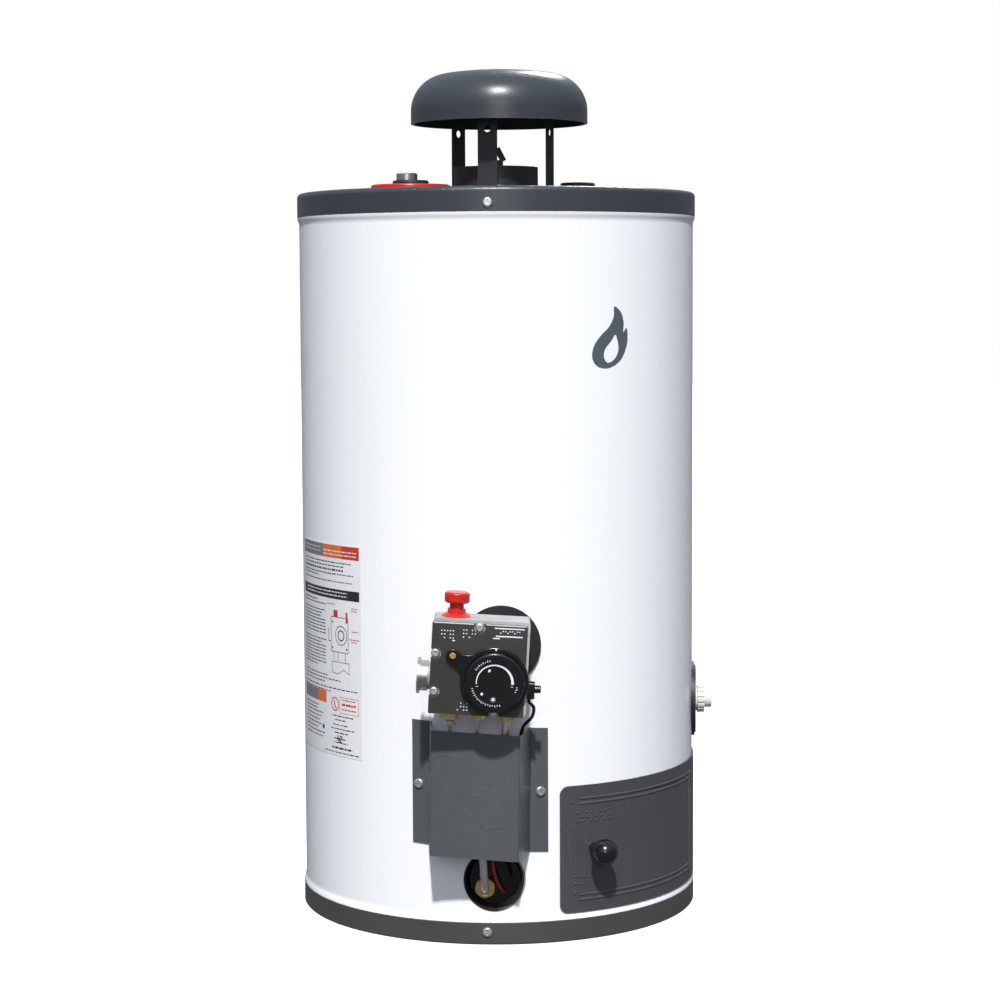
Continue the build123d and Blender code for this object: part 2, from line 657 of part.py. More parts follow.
def thermostat():
    """Threaded shank and copper probe that hold the valve on the tank."""
    shank = along_y(10.6, -244.9, -158, SHANK_X, SHANK_Z)
    return shank + along_y(6.0, -158, -62, SHANK_X, SHANK_Z)


def escutcheon(azimuth, height, hole):
    """Curved disc that covers a hole in the jacket, stepped at its rim."""
    r = 38.8
    disc = drum_bore(r, azimuth, height, 190, 220) & ring(206.0, JACKET_R + 0.05, height - 60, height + 60)
    middle = drum_bore(r - 3, azimuth, height, 190, 220)
    disc += middle & ring(207.2, 205.9, height - 60, height + 60)
    return disc - hole


# ---------------------------------------------------------------- burner cover and lines
def burner_cover():
    """Hat-shaped sheet over the burner's lines, open above and below, its flanges on the jacket."""
    t = 0.9
    half = 42.7
    foot_r, foot_half = 198.0, 49.7
    length = COVER_HEIGHT + 30
    outer = Polyline((COVER_FACE_R, -half), (foot_r, -foot_half), (foot_r, foot_half), (COVER_FACE_R, half), close=True)
    inner = Polyline(
        (COVER_FACE_R - t, -half + t), (foot_r - 9, -foot_half - 0.4), (foot_r - 9, foot_half + 0.4),
        (COVER_FACE_R - t, half - t), close=True,
    )
    hat = extrude(make_face(outer), length / 2, both=True)
    corners = hat.edges().filter_by(Axis.Z).sort_by(Axis.X)[-2:]
    hat = fillet(corners, 2.0) - extrude(make_face(inner), length / 2, both=True)
    hat = outward(Rot(-COVER_LEAN, 0, 0) * hat, COVER_AZ, 0, COVER_Z)
    hat -= rod(JACKET_R + 0.15, 0, 300)
    flanges = ring(JACKET_R + 1.05, JACKET_R + 0.15, COVER_Z - 80, COVER_Z + 80)
    left = sector(200, 206, 0, 300, -24.3, -18.6)
    right = sector(200, 206, 0, 300, 8.1, 13.7)
    cover = hat + (flanges & (left + right))
    slab = Rot(-COVER_LEAN - COVER_BIAS, 0, 0) * Box(200, 200, COVER_HEIGHT)
    cover &= outward(slab, COVER_AZ, COVER_FACE_R, COVER_Z)
    for azimuth, height in COVER_SCREWS:
        cover -= drum_bore(2.0, azimuth, height, 195, 210)
    return cover


def orifice_nut():
    """Brass nut on a short pipe that ends in the gas orifice, inside the mixing tube's mouth."""
    rounded = chamfer(rod(10.5, 0, 9).edges().group_by(Axis.Z)[-1], 1.2)
    nut = (Rot(0, 0, 24) * hexagon_rod(18.4, 0, 9)) & rounded
    nut -= ring(7.3, 5.5, 7.2, 9.5)
    nut += rod(5.0, -38, 0) + rod(3.0, -41, -38)
    nut -= rod(3.8 + 0.05, 1, 10)
    return Pos(GAS_X, -187, GAS_Z) * Rot(90, 0, 0) * nut


def main_gas_tube():
    """Aluminium line from the valve to the burner's orifice."""
    return tube_along([
        valve_point(8.7, NUT_Y, -57), valve_point(8.7, NUT_Y, -75), (0, -236, 178), (-12, -226, 132),
        (-15.6, -214.5, 98), (GAS_X, -213.5, GAS_Z), (GAS_X, -188.2, GAS_Z),
    ], 7.6, "main gas tube")


def pilot_tube():
    """Thin aluminium line to the pilot burner."""
    return tube_along([
        valve_point(-18.7, NUT_Y, -57), valve_point(-18.7, NUT_Y, -74), (-22, -234, 190), (-20, -220, 150),
        (-12, -211.5, 118), (-9, -206.5, 87.5), (-10, -184, 83), (-6, -140, 83), (2, -104, 84), (4, -82.55, 84),
    ], 3.2, "pilot tube")


def igniter_lead():
    """Red high-voltage lead from the back of the valve to the electrode."""
    return tube_along([
        valve_point(7.5, -231.9, -42), valve_point(7.5, -223, -42), valve_point(7.5, -223, -80), (4, -222, 170),
        (-2, -220, 130), (-6.5, -211, 92), (-4.5, -202, 67), (5.5, -190, 46), (7, -168, 47.5), (11, -148, 54),
        (15, -118, 72), (16, -98, 83), (16, -79.1, 84),
    ], 3.0, "igniter lead")


def igniter_cable():
    """Black earth cable from the igniter to the pilot bracket."""
    return tube_along([
        valve_point(28.7, -254, -40), valve_point(28.7, -254, -43.5), (34.2, -251, 242.5), (33.4, -240, 231.5),
        (23.5, -223, 219), (20.5, -220, 204), (18, -219, 150), (16, -216, 112), (11, -208, 88), (8.5, -198, 78),
        (12.5, -186, 66), (12, -172, 57), (15, -148, 58), (19, -118, 71), (19.5, -100, 78.3), (19.5, -86.1, 78.3),
    ], 3.2, "igniter cable")


# ---------------------------------------------------------------- drain
def drain_body():
    """Plastic drain valve body with its hose outlet."""
    body = along_x(9.5, 166, 216.4, 0, DRAIN_Z) + along_x(9.3, 216.4, 223.8, 0, DRAIN_Z)
    body += along_x(12.5, 206.0, 208.4, 0, DRAIN_Z)
    return body - along_x(5.2, 160, 230, 0, DRAIN_Z)


def drain_handle():
    """Ribbed ring that turns on the drain valve's body."""
    ring_x = along_x(13.3, 208.9, 216.0, 0, 0)
    for step in range(16):
        ring_x += Rot(22.5 * step, 0, 0) * block(208.9, 216.0, -1.4, 1.4, 12.5, 14.5)
    return Pos(0, 0, DRAIN_Z) * (ring_x - along_x(9.5 + RUNNING, 200, 220, 0, 0))


# ---------------------------------------------------------------- access door
KNUCKLES = 5
KNUCKLE_R = 2.6
PIN_R = 1.2
KNUCKLE_Z = (36.0, 145.0)


def knuckle(index):
    """One hinge knuckle at its height."""
    pitch = (KNUCKLE_Z[1] - KNUCKLE_Z[0]) / KNUCKLES
    z0 = KNUCKLE_Z[0] + index * pitch
    return rod(KNUCKLE_R, z0, z0 + pitch - 0.6), z0, z0 + pitch - 0.6


def hinge_leaf():
    """Fixed half of the hinge, a curved leaf on the jacket with every other knuckle."""
    inner, outer = JACKET_R + 0.05, JACKET_R + 1.25
    leaf = sector(inner, outer, KNUCKLE_Z[0], KNUCKLE_Z[1] - 0.6, HINGE_AZ + 1.4, HINGE_AZ + 6)
    for index in range(0, KNUCKLES, 2):
        barrel, z0, z1 = knuckle(index)
        leaf += outward(barrel, HINGE_AZ, HINGE_R)
        leaf += sector(inner, outer, z0, z1, HINGE_AZ - 0.3, HINGE_AZ + 2)
    return leaf - outward(rod(PIN_R + 0.02, 20, 160), HINGE_AZ, HINGE_R)


def hinge_pin():
    """Pin of the door's hinge."""
    return outward(rod(PIN_R, KNUCKLE_Z[0] - 1, KNUCKLE_Z[1] + 0.4), HINGE_AZ, HINGE_R)


def door():
    """Curved access door with rounded corners, pressed beads and its hinge knuckles."""
    outer_r = DOOR_INNER_R + DOOR_SHEET
    plate = sector(DOOR_INNER_R, outer_r, *DOOR_Z, *DOOR_AZ)
    corners = [e for e in plate.edges() if abs(e.length - DOOR_SHEET) < 0.01]
    plate = fillet(corners, 9.0)
    for height in (136.0, 141.0, 40.5, 45.5):
        arch = ThreePointArc((outer_r - 0.3, height - 1.3), (outer_r + 0.8, height), (outer_r - 0.3, height + 1.3))
        plate += turned(arch + Line((outer_r - 0.3, height - 1.3), (outer_r - 0.3, height + 1.3)), 50.1, 22.5)
    for azimuth in (72.9, 74.3):
        plate += outward(rod(1.1, 38.5, 143), azimuth, outer_r - 0.3)
    for index in range(1, KNUCKLES, 2):
        barrel, z0, z1 = knuckle(index)
        plate += outward(barrel, HINGE_AZ, HINGE_R)
        plate += outward(block(outer_r - 0.2 - HINGE_R, outer_r + 1 - HINGE_R, -14, 0, z0, z1), HINGE_AZ, HINGE_R)
    plate -= outward(rod(PIN_R + RUNNING, 20, 160), HINGE_AZ, HINGE_R)
    return plate - drum_bore(4.0 + RUNNING, KNOB_AZ, KNOB_Z, 190, 215)


def door_knob():
    """Ball knob on a stem that widens towards it and passes through the door."""
    ball = Pos(227.5, 0, 0) * Sphere(12.8)
    stem = Pos(213, 0, 0) * Rot(0, 90, 0) * Cone(5.4, 8.2, 16)
    shaft = along_x(4.0, 195.0, 206, 0, 0)
    return outward(ball + stem + shaft, KNOB_AZ, 0, KNOB_Z)


def latch_cam():
    """Cam on the knob's shaft that catches behind the jacket; at rest it hangs clear of it."""
    cam = block(195.6, 197.6, -4.5, 4.5, -24, 0) + along_x(7.0, 195.6, 197.6, 0, 0)
    return outward(cam - along_x(4.0 + 0.02, 190, 200, 0, 0), KNOB_AZ, 0, KNOB_Z)


# ---------------------------------------------------------------- places worked out from the above
half_x = NIPPLE_SPACING / 2 * math.cos(math.radians(NIPPLE_TURN))
half_y = NIPPLE_SPACING / 2 * math.sin(math.radians(NIPPLE_TURN))
SEALS = ((-half_x, -half_y), (half_x, half_y))
NIPPLES = ((-half_x - 3.7, -half_y), (half_x, half_y))   # the hot nipple stands off its seal's centre
ANODE = (0.0, NIPPLE_SPACING / 2)
RIM_SCREWS = ((-2.2, 719.5), (117.8, 719.5), (-122.2, 719.5), (-3.2, 12.9), (116.8, 12.9), (-123.2, 12.9))
COVER_SCREWS = ((-22.3, 157.0), (11.5, 151.0))
LEG_SCREW = (LEG_R + 7, -3.0)   # outward and sideways from the tank axis, for each leg

# ---------------------------------------------------------------- write the nodes
save("base_pan", base_pan())
save("jacket", jacket())
save("top_cap", top_cap())
save("rim_screws", [rim_screw(azimuth, height, CAP_R) for azimuth, height in RIM_SCREWS])
save("foam_insulation", foam())
save("glass_wool_blanket", blanket())
save("top_insulation", top_insulation())
save("tank_shell", tank_shell())
save("tank_top_head", top_head())
save("tank_bottom_head", bottom_head())
save("tank_spuds", tank_spuds())
save("flue_tube", ring(FLUE_R, FLUE_R - FLUE_WALL, TANK_BOTTOM + 38, 750))
save("flue_baffle", flue_baffle())
save("anode_rod", anode())
save("anode_plug", anode_plug())
save("dip_tube", dip_tube())
save("water_nipples", [hot_nipple(*NIPPLES[0]), cold_nipple(*NIPPLES[1])])
save("hot_ring", connection_ring(*SEALS[0], 40.0, 742.6))
save("cold_ring", connection_ring(*SEALS[1], 37.0, 742.0))
save("nipple_grommets", [grommet(SEALS[0], NIPPLES[0], 747.0), grommet(SEALS[1], NIPPLES[1], 748.7)])
save("flue_collar", flue_collar())
save("hood_legs", [hood_leg(azimuth) for azimuth in LEG_AZIMUTHS])
leg_screw = Pos(0, 0, CAP_TOP + 1.5) * pan_screw(3.8, 2.2, 1.9, 2.4)
save("leg_screws", [Pos(HOOD_X, 0, 0) * outward(Pos(*LEG_SCREW, 0) * leg_screw, azimuth) for azimuth in LEG_AZIMUTHS])
save("vent_hood", vent_hood())
save("combustion_skirt", combustion_skirt())
save("port_sleeve", port_sleeve())
save("mixing_tube", mixing_tube())
save("burner_head", burner_head())
save("burner_bracket", burner_bracket())
save("pilot_bracket", pilot_bracket())
save("pilot_burner", pilot_burner())
save("thermocouple", thermocouple())
save("igniter_electrode", electrode())
save("valve_body", valve_body())
save("valve_face_plate", face_plate())
save("dial_bezel", dial_bezel())
save("valve_screws", [facing_screw(across, up, 4.25, 2.5, 8) for across, up in FACE_SCREWS])
save("pressure_tap_screw", facing_screw(*BRASS_SCREW, 3.5, 6.0, 8))
save("temperature_dial", temperature_dial())
save("pilot_button_guide", pilot_guide())
save("pilot_button", pilot_button())
save("gas_inlet_fitting", gas_inlet())
save("igniter_housing", igniter_housing())
save("igniter_button", igniter_button())
save("tube_nuts", [tube_nut(*nut) for nut in TUBE_NUTS])
save("thermostat_probe", thermostat())
shank_hole = along_y(11.2, -220, -190, SHANK_X, SHANK_Z)
drain_hole = drum_bore(9.7, 90, DRAIN_Z, 190, 205.8) + drum_bore(12.8, 90, DRAIN_Z, 205.8, 220)
save("escutcheons", [escutcheon(0.85, SHANK_Z + 1.5, shank_hole), escutcheon(90, DRAIN_Z, drain_hole)])
save("burner_cover", burner_cover())
save("cover_screws", [rim_screw(azimuth, height, JACKET_R + 1.05) for azimuth, height in COVER_SCREWS])
save("orifice_nut", orifice_nut())
save("main_gas_tube", main_gas_tube())
save("pilot_tube", pilot_tube())
save("igniter_lead", igniter_lead())
save("igniter_cable", igniter_cable())
save("drain_valve_body", drain_body())
save("drain_handle", drain_handle())
save("rating_label", sector(JACKET_R + 0.02, JACKET_R + 0.2, 172, 385, -77.5, -41.5))
save("door_hinge", [hinge_leaf(), hinge_pin()])
save("access_door", door())
save("door_knob", [door_knob(), latch_cam()])
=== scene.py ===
import math
import random

import bmesh
import bpy
from mathutils import Matrix, Vector


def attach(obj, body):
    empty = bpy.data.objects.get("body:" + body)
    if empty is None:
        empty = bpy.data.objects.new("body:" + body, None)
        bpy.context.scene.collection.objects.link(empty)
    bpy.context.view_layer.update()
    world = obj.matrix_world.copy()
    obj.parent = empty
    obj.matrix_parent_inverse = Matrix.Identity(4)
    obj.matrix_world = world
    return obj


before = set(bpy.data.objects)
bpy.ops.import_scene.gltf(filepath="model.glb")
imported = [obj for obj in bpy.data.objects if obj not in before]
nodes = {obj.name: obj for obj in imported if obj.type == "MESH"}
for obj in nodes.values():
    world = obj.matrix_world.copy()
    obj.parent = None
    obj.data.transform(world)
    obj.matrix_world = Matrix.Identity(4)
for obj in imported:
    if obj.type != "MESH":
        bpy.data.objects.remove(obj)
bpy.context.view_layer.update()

MM = 0.001

# ------------------------------------------------------------------ camera
CAMERA_AT = (0.00276, -2.50885, 0.63395)
PITCH_DOWN = math.radians(4.924)
ROLL = math.radians(-0.262)
LENS = 86.76


def make_camera():
    """Camera with the photograph's view: level apart from a slight downward pitch and roll."""
    data = bpy.data.cameras.new("camera")
    data.sensor_width = 36.0
    data.lens = LENS
    data.clip_start = 0.05
    data.clip_end = 100.0
    camera = bpy.data.objects.new("camera", data)
    bpy.context.scene.collection.objects.link(camera)
    forward = Vector((0, math.cos(PITCH_DOWN), -math.sin(PITCH_DOWN)))
    right = Vector((1, 0, 0))
    up = right.cross(forward)
    x_axis = right * math.cos(ROLL) + up * math.sin(ROLL)
    y_axis = up * math.cos(ROLL) - right * math.sin(ROLL)
    turn = Matrix((x_axis, y_axis, -forward)).transposed()
    camera.matrix_world = Matrix.Translation(CAMERA_AT) @ turn.to_4x4()
    bpy.context.scene.camera = camera


make_camera()


# ------------------------------------------------------------------ node helpers
class Nodes:
    """Short calls for building one material's node tree."""

    def __init__(self, name):
        self.material = bpy.data.materials.new(name)
        self.material.use_nodes = True
        self.tree = self.material.node_tree
        self.tree.nodes.clear()
        self.output = self.add("ShaderNodeOutputMaterial")
        self.shader = self.add("ShaderNodeBsdfPrincipled")
        self.link(self.shader.outputs[0], self.output.inputs[0])
        self.place = self.add("ShaderNodeTexCoord").outputs["Object"]

    def add(self, kind, **settings):
        node = self.tree.nodes.new(kind)
        for key, value in settings.items():
            setattr(node, key, value)
        return node

    def link(self, source, target):
        self.tree.links.new(source, target)

    def stretched(self, scale, turn=(0, 0, 0)):
        node = self.add("ShaderNodeMapping")
        node.inputs["Scale"].default_value = scale
        node.inputs["Rotation"].default_value = turn
        self.link(self.place, node.inputs["Vector"])
        return node.outputs[0]

    def noise(self, scale, detail=3.0, rough=0.5, vector=None):
        node = self.add("ShaderNodeTexNoise")
        node.inputs["Scale"].default_value = scale
        node.inputs["Detail"].default_value = detail
        node.inputs["Roughness"].default_value = rough
        self.link(vector or self.place, node.inputs["Vector"])
        return node.outputs["Fac"]

    def spread(self, value, low, high, to_low=0.0, to_high=1.0):
        node = self.add("ShaderNodeMapRange")
        for slot, number in zip(("From Min", "From Max", "To Min", "To Max"),
                (low, high, to_low, to_high)):
            node.inputs[slot].default_value = number
        self.link(value, node.inputs["Value"])
        return node.outputs[0]

    def maths(self, operation, a, b):
        node = self.add("ShaderNodeMath", operation=operation)
        for slot, value in zip(node.inputs, (a, b)):
            if isinstance(value, (int, float)):
                slot.default_value = value
            else:
                self.link(value, slot)
        return node.outputs[0]

    def blend(self, amount, first, second):
        node = self.add("ShaderNodeMix", data_type="RGBA")
        if isinstance(amount, (int, float)):
            node.inputs["Factor"].default_value = amount
        else:
            self.link(amount, node.inputs["Factor"])
        for slot, value in ((node.inputs[6], first), (node.inputs[7], second)):
            if isinstance(value, tuple):
                slot.default_value = (*value, 1.0)
            else:
                self.link(value, slot)
        return node.outputs[2]

    def bump(self, height, distance, strength=1.0, after=None):
        node = self.add("ShaderNodeBump")
        node.inputs["Strength"].default_value = strength
        node.inputs["Distance"].default_value = distance
        self.link(height, node.inputs["Height"])
        if after is not None:
            self.link(after, node.inputs["Normal"])
        return node.outputs[0]

    def edges(self, width):
        """1 on outside edges within width, 0 on flat surfaces."""
        bevel = self.add("ShaderNodeBevel", samples=4)
        bevel.inputs["Radius"].default_value = width
        true = self.add("ShaderNodeNewGeometry").outputs["Normal"]
        dot = self.add("ShaderNodeVectorMath", operation="DOT_PRODUCT")
        self.link(bevel.outputs[0], dot.inputs[0])
        self.link(true, dot.inputs[1])
        return self.spread(dot.outputs["Value"], 0.995, 0.8)


def enamel(name, colour, rough, peel=0.00006, wear=None, dust=0.0, coat=0.0, vary=0.1):
    """Stoved paint: slight orange peel, uneven gloss, dust on level faces, rubbed edges."""
    n = Nodes(name)
    darker = tuple(c * (1 - vary) for c in colour)
    lighter = tuple(min(1, c * (1 + vary)) for c in colour)
    clouds = n.noise(9, 4, 0.55)
    tone = n.blend(n.spread(clouds, 0.3, 0.7), darker, lighter)
    if dust:
        up = n.add("ShaderNodeNewGeometry").outputs["Normal"]
        split = n.add("ShaderNodeSeparateXYZ")
        n.link(up, split.inputs[0])
        level = n.spread(split.outputs["Z"], 0.75, 1.0)
        patchy = n.spread(n.noise(38, 5, 0.65), 0.35, 0.75)
        amount = n.maths("MULTIPLY", n.maths("MULTIPLY", level, patchy), dust)
        tone = n.blend(amount, tone, (0.38, 0.36, 0.33))
    if wear:
        rubbed = n.maths("MULTIPLY", n.edges(0.0009), n.spread(n.noise(160, 3), 0.42, 0.6))
        tone = n.blend(n.maths("MULTIPLY", rubbed, 0.55), tone, wear)
    n.link(tone, n.shader.inputs["Base Color"])
    n.link(n.spread(n.noise(26, 4), 0.3, 0.7, rough * 0.85, rough * 1.18),
        n.shader.inputs["Roughness"])
    fine = n.bump(n.noise(520, 2, 0.4), peel)
    n.link(n.bump(n.noise(24, 1), peel * 5, 0.5, fine), n.shader.inputs["Normal"])
    n.shader.inputs["Coat Weight"].default_value = coat
    n.shader.inputs["Coat Roughness"].default_value = 0.12
    return n.material


def metal(name, colour, rough, brushed=(1, 1, 1), scratches=0.00002, stain=None, vary=0.1,
        bare=1.0):
    """Bare metal with a direction to its brushing, and stains where it has been handled."""
    n = Nodes(name)
    along = n.stretched(brushed)
    streaks = n.noise(700, 3, 0.6, along)
    tone = n.blend(n.spread(streaks, 0.3, 0.7), tuple(c * (1 - vary) for c in colour), colour)
    if stain:
        marks = n.spread(n.noise(55, 5, 0.6), 0.52, 0.72)
        tone = n.blend(n.maths("MULTIPLY", marks, 0.6), tone, stain)
    n.link(tone, n.shader.inputs["Base Color"])
    n.shader.inputs["Metallic"].default_value = bare
    n.link(n.spread(streaks, 0.25, 0.75, rough * 0.75, rough * 1.25),
        n.shader.inputs["Roughness"])
    n.link(n.bump(streaks, scratches), n.shader.inputs["Normal"])
    return n.material


def plastic(name, colour, rough, grain=0.00003, grain_scale=900, vary=0.12, coat=0.0):
    """Moulded plastic or rubber with a fine grain and faint flow marks."""
    n = Nodes(name)
    clouds = n.noise(60, 4, 0.6)
    tone = n.blend(n.spread(clouds, 0.3, 0.7), tuple(c * (1 - vary) for c in colour), colour)
    scuffs = n.spread(n.noise(420, 4, 0.7, n.stretched((1, 1, 0.15))), 0.66, 0.8)
    tone = n.blend(n.maths("MULTIPLY", scuffs, 0.18), tone,
        tuple(min(1, c * 1.5 + 0.04) for c in colour))
    n.link(tone, n.shader.inputs["Base Color"])
    n.link(n.spread(clouds, 0.25, 0.75, rough * 0.85, rough * 1.2), n.shader.inputs["Roughness"])
    n.link(n.bump(n.noise(grain_scale, 2), grain), n.shader.inputs["Normal"])
    n.shader.inputs["Coat Weight"].default_value = coat
    return n.material


def fibrous(name, colour, shade):
    """Glass wool or foam."""
    n = Nodes(name)
    fibres = n.noise(260, 6, 0.75, n.stretched((1, 1, 3)))
    n.link(n.blend(n.spread(fibres, 0.3, 0.7), shade, colour), n.shader.inputs["Base Color"])
    n.shader.inputs["Roughness"].default_value = 0.95
    n.link(n.bump(fibres, 0.0015), n.shader.inputs["Normal"])
    return n.material


def left_shaded_steel(name, unshaded_colour, painted_shade):
    """Sheet steel with painted shade: blackened on its left side, where the inside of the sleeve
    lies in shade.
    """
    n = Nodes(name)
    split = n.add("ShaderNodeSeparateXYZ")
    n.link(n.place, split.inputs[0])
    # painted shade: black on the left side (low X), fading to the steel's own colour towards the
    # right, broken up by patchy noise
    side = n.spread(split.outputs["X"], -0.002, 0.030)
    patches = n.spread(n.noise(90, 4, 0.6), 0.25, 0.75, 0.75, 1.0)
    n.link(n.blend(n.maths("MULTIPLY", side, patches), painted_shade, unshaded_colour),
        n.shader.inputs["Base Color"])
    n.shader.inputs["Roughness"].default_value = 0.6
    n.link(n.bump(n.noise(300, 3), 0.00005), n.shader.inputs["Normal"])
    return n.material


# ------------------------------------------------------------------ materials
white_enamel = enamel("white_enamel", (0.875, 0.89, 0.915), 0.28, 0.000004, coat=0.1, vary=0.004)
dark_enamel = enamel("dark_enamel", (0.038, 0.044, 0.052), 0.31, 0.00008, wear=(0.2, 0.21, 0.22),
    dust=0.07)
base_enamel = enamel("base_enamel", (0.060, 0.058, 0.056), 0.42, 0.00008, wear=(0.2, 0.2, 0.19))
cover_enamel = enamel("cover_enamel", (0.072, 0.080, 0.088), 0.40, 0.00007,
    wear=(0.22, 0.23, 0.24))
door_enamel = enamel("door_enamel", (0.056, 0.058, 0.063), 0.40, 0.00007, wear=(0.2, 0.21, 0.22))
leg_enamel = enamel("leg_enamel", (0.014, 0.015, 0.018), 0.5, 0.0001, wear=(0.12, 0.12, 0.12))
valve_cast = enamel("valve_cast", (0.36, 0.36, 0.36), 0.45, 0.00025, wear=(0.7, 0.7, 0.69),
    vary=0.2)
face_black = enamel("face_black", (0.034, 0.032, 0.030), 0.42, 0.00012, wear=(0.3, 0.3, 0.3),
    vary=0.18)
zinc = metal("zinc_screw", (0.66, 0.67, 0.69), 0.30, (0.3, 0.3, 0.3), 0.00002,
    stain=(0.42, 0.42, 0.41), bare=0.8)
tank_steel = metal("tank_steel", (0.30, 0.30, 0.31), 0.5, (1, 1, 0.1), 0.0001,
    stain=(0.12, 0.09, 0.07))
anode_metal = metal("anode_metal", (0.7, 0.7, 0.7), 0.4, (1, 1, 0.1))
steel_pipe = metal("steel_pipe", (0.62, 0.62, 0.63), 0.34, (1, 1, 6), 0.00003,
    stain=(0.34, 0.34, 0.33), vary=0.25)
burner_steel = metal("burner_steel", (0.085, 0.08, 0.078), 0.5, (1, 1, 0.3), 0.0001,
    stain=(0.04, 0.035, 0.03))
# port sleeve steel with painted shade on its left inner wall
sleeve_steel = left_shaded_steel("sleeve_steel", (0.40, 0.37, 0.35), (0.012, 0.012, 0.012))
burner_iron = enamel("burner_iron", (0.022, 0.021, 0.020), 0.7, 0.0004, vary=0.25)
brass = metal("brass", (0.80, 0.56, 0.24), 0.28, (0.2, 0.2, 0.2), 0.00002,
    stain=(0.55, 0.37, 0.15), vary=0.05, bare=0.7)
tube_aluminium = metal("tube_aluminium", (0.76, 0.69, 0.635), 0.36, (1, 1, 0.05), 0.000012,
    stain=(0.56, 0.5, 0.45))
copper = metal("copper_lead", (0.76, 0.42, 0.28), 0.32, (1, 1, 0.1), 0.00001,
    stain=(0.5, 0.25, 0.16))
inlet_aluminium = metal("inlet_aluminium", (0.52, 0.51, 0.50), 0.34, (8, 1, 1), 0.00002,
    stain=(0.34, 0.33, 0.31))
red_plastic = plastic("red_plastic", (0.56, 0.016, 0.013), 0.3, coat=0.15)
blue_plastic = plastic("blue_plastic", (0.02, 0.09, 0.5), 0.28, coat=0.2)
black_rubber = plastic("black_rubber", (0.012, 0.012, 0.013), 0.5, 0.00006, 500)
black_plastic = plastic("black_plastic", (0.0055, 0.0058, 0.0065), 0.2, 0.00002, coat=0.15)
knob_plastic = plastic("knob_plastic", (0.007, 0.0075, 0.009), 0.22, 0.00002, coat=0.15)
white_plastic = plastic("white_plastic", (0.74, 0.74, 0.71), 0.42, 0.00004)
dip_plastic = plastic("dip_plastic", (0.75, 0.8, 0.85), 0.5)
red_silicone = plastic("red_silicone", (0.45, 0.03, 0.02), 0.38, 0.00003)
black_cable = plastic("black_cable", (0.006, 0.006, 0.0065), 0.2, 0.00002, coat=0.15)
ceramic = plastic("ceramic", (0.82, 0.79, 0.72), 0.3)
label_film = plastic("label_film", (0.80, 0.81, 0.82), 0.32, 0.00001, 300, vary=0.03)
foam = fibrous("foam", (0.80, 0.68, 0.38), (0.62, 0.5, 0.25))
glass_wool = fibrous("glass_wool", (0.82, 0.7, 0.25), (0.6, 0.46, 0.12))

ink_slate = plastic("ink_slate", (0.085, 0.105, 0.125), 0.3, 0.00001)
ink_black = plastic("ink_black", (0.022, 0.022, 0.024), 0.35, 0.00001)
ink_grey = plastic("ink_grey", (0.2, 0.205, 0.215), 0.35, 0.00001)
ink_red = plastic("ink_red", (0.55, 0.045, 0.03), 0.35, 0.00001)
ink_blue = plastic("ink_blue", (0.02, 0.03, 0.30), 0.35, 0.00001)
ink_orange = plastic("ink_orange", (0.72, 0.16, 0.04), 0.35, 0.00001)
ink_white = plastic("ink_white", (0.82, 0.83, 0.85), 0.35, 0.00001)
# silver used for the printed dots and for the painted highlight on the face plate's top edge
silver_ink_and_highlight = plastic("silver_ink_and_highlight", (0.66, 0.72, 0.78), 0.3, 0.00001)

FINISH = {
    "base_pan": base_enamel, "jacket": white_enamel, "top_cap": dark_enamel, "rim_screws": zinc,
    "foam_insulation": foam, "glass_wool_blanket": glass_wool, "top_insulation": glass_wool,
    "tank_shell": tank_steel, "tank_top_head": tank_steel, "tank_bottom_head": tank_steel,
    "tank_spuds": tank_steel, "flue_tube": tank_steel, "flue_baffle": leg_enamel,
    "anode_rod": anode_metal,
    "anode_plug": steel_pipe, "dip_tube": dip_plastic, "water_nipples": steel_pipe,
    "hot_ring": red_plastic,
    "cold_ring": blue_plastic, "nipple_grommets": black_rubber, "flue_collar": leg_enamel,
    "hood_legs": leg_enamel, "leg_screws": zinc, "vent_hood": dark_enamel,
    "combustion_skirt": burner_steel,
    "port_sleeve": sleeve_steel, "mixing_tube": burner_steel, "burner_head": burner_iron,
    "burner_bracket": burner_steel, "pilot_bracket": burner_steel, "pilot_burner": burner_steel,
    "thermocouple": copper, "igniter_electrode": ceramic, "valve_body": valve_cast,
    "valve_face_plate": face_black, "dial_bezel": black_plastic, "valve_screws": zinc,
    "pressure_tap_screw": brass, "temperature_dial": black_plastic,
    "pilot_button_guide": red_plastic,
    "pilot_button": red_plastic, "gas_inlet_fitting": inlet_aluminium,
    "igniter_housing": black_plastic,
    "igniter_button": black_plastic, "tube_nuts": brass, "thermostat_probe": steel_pipe,
    "escutcheons": black_rubber, "burner_cover": cover_enamel, "cover_screws": zinc,
    "orifice_nut": brass,
    "main_gas_tube": tube_aluminium, "pilot_tube": tube_aluminium, "igniter_lead": red_silicone,
    "igniter_cable": black_cable, "drain_valve_body": white_plastic,
    "drain_handle": white_plastic,
    "rating_label": label_film, "door_hinge": door_enamel, "access_door": door_enamel,
    "door_knob": knob_plastic,
}
for name, finish in FINISH.items():
    node = nodes[name]
    node.data.materials.clear()
    node.data.materials.append(finish)


# ------------------------------------------------------------------ thin applied shapes
JACKET_R = 0.203
DOOR_R = 0.2048
MM_PER_DEGREE = 3.543   # round the jacket
FACE_Y = -278.0        # front of the valve's face plate
BEZEL_Y = -283.5       # front of the bezel
DIAL_FLOOR_Y = -290.3  # bottom of the dial's recess
DIAL_RIM_Y = -291.5    # front of the dial
COVER_AZ, COVER_FRONT = -5.3, 246.0
LEAN = math.radians(3.4)
SHANK = (3.0, 293.0)
DIAL = (-4.95, -21.5)


def drum(radius):
    """Maps (azimuth in degrees, height in mm, outward mm) to the drum."""
    def place(u, v, w):
        a, r = math.radians(u), radius + w * MM
        return Vector((r * math.sin(a), -r * math.cos(a), v * MM))
    return place


